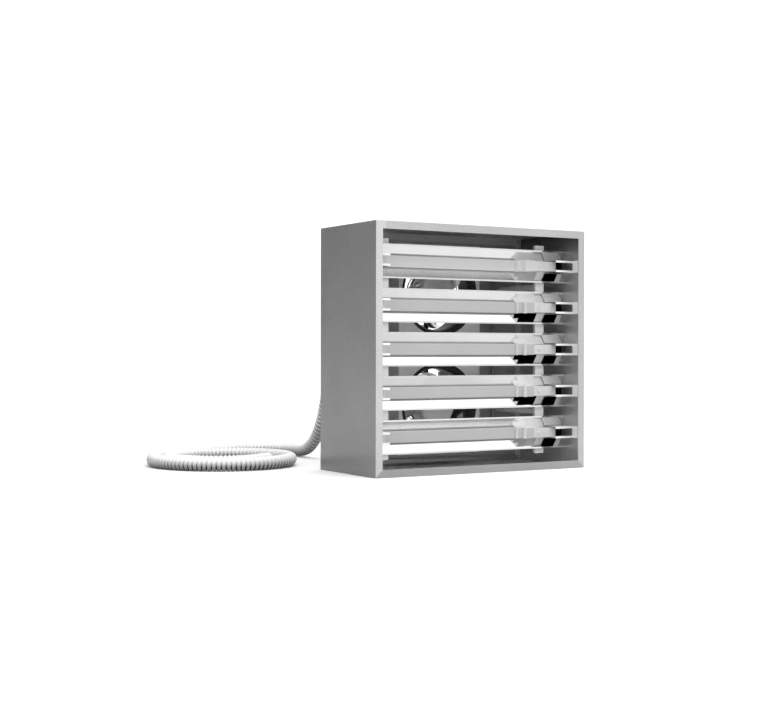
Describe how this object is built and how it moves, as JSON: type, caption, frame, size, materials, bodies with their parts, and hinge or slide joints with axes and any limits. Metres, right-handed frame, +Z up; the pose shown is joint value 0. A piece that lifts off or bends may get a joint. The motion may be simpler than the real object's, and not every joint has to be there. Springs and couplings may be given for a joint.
{
  "type": "infrared heater",
  "caption": "Open fronted sheet steel infrared panel heater with horizontal quartz emitters in mirror reflectors, cooling fans behind and a ribbed flexible conduit coiled on the floor.",
  "frame": {"origin": "on the floor under the middle of the heater, halfway between its front and its fan guards", "axes": "+Z up, +X to the viewer's right when facing the open front, +Y towards the back; the open front faces -Y"},
  "size_m": [0.7247, 0.6096, 0.45],
  "materials": {
    "case_steel": "satin sheet steel, pale, faintly speckled on the sides",
    "panel_steel": "dull sheet steel",
    "zinc_steel": "dull zinc plated sheet steel",
    "mirror_aluminium": "mirror polished",
    "coated_quartz": "white coated quartz, opaque, smooth",
    "cap_ceramic": "unglazed white ceramic",
    "block_ceramic": "unglazed white ceramic",
    "bracket_steel": "satin sheet steel",
    "resistance_wire": "dull brown oxide",
    "fastener_steel": "zinc plated",
    "fan_frame_paint": "satin black over die cast metal",
    "impeller_metal": "bright plated sheet steel",
    "guard_wire": "bright plated wire",
    "wire_sleeve": "woven glass sleeve, off white",
    "gland_metal": "nickel plated brass",
    "conduit": "smooth light grey plastic, closely ribbed"
  },
  "bodies": {
    "root": {"case_top": "case_steel", "case_bottom": "case_steel", "case_left": "case_steel", "case_right": "case_steel", "back_panel": "panel_steel", "rail_left": "zinc_steel", "rail_right": "zinc_steel", "rail_posts": "zinc_steel", "reflector_1": "mirror_aluminium", "reflector_2": "mirror_aluminium", "reflector_3": "mirror_aluminium", "reflector_4": "mirror_aluminium", "reflector_5": "mirror_aluminium", "emitter_1": "coated_quartz", "emitter_2": "coated_quartz", "emitter_3": "coated_quartz", "emitter_4": "coated_quartz", "emitter_5": "coated_quartz", "lead_cap_1": "cap_ceramic", "lead_cap_2": "cap_ceramic", "lead_cap_3": "cap_ceramic", "lead_cap_4": "cap_ceramic", "lead_cap_5": "cap_ceramic", "terminal_block_1": "block_ceramic", "terminal_block_2": "block_ceramic", "terminal_block_3": "block_ceramic", "terminal_block_4": "block_ceramic", "terminal_block_5": "block_ceramic", "bracket_left_1": "bracket_steel", "bracket_left_2": "bracket_steel", "bracket_left_3": "bracket_steel", "bracket_left_4": "bracket_steel", "bracket_left_5": "bracket_steel", "bracket_right_1": "bracket_steel", "bracket_right_2": "bracket_steel", "bracket_right_3": "bracket_steel", "bracket_right_4": "bracket_steel", "bracket_right_5": "bracket_steel", "plain_caps": "cap_ceramic", "heating_coils": "resistance_wire", "reflector_rivets": "fastener_steel", "cap_screws": "fastener_steel", "cap_nuts": "fastener_steel", "fan_tray": "zinc_steel", "fan_frame_upper": "fan_frame_paint", "fan_frame_lower": "fan_frame_paint", "fan_guard_upper": "guard_wire", "fan_guard_lower": "guard_wire", "rear_screws": "fastener_steel", "terminal_strip": "block_ceramic", "wiring_loom": "wire_sleeve", "gland_body": "gland_metal", "gland_locknut": "gland_metal", "conduit_riser": "conduit", "conduit_coil": "conduit", "conduit_end_fitting": "gland_metal"},
    "upper_impeller": {"impeller_upper": "impeller_metal"},
    "lower_impeller": {"impeller_lower": "impeller_metal"}
  },
  "joints": [
    {"name": "upper_fan_spin", "type": "hinge", "parent": "root", "child": "upper_impeller", "pos_m": [0, 0.08, 0.335], "axis": [0, 1, 0], "continuous": true},
    {"name": "lower_fan_spin", "type": "hinge", "parent": "root", "child": "lower_impeller", "pos_m": [0, 0.08, 0.115], "axis": [0, 1, 0], "continuous": true}
  ]
}
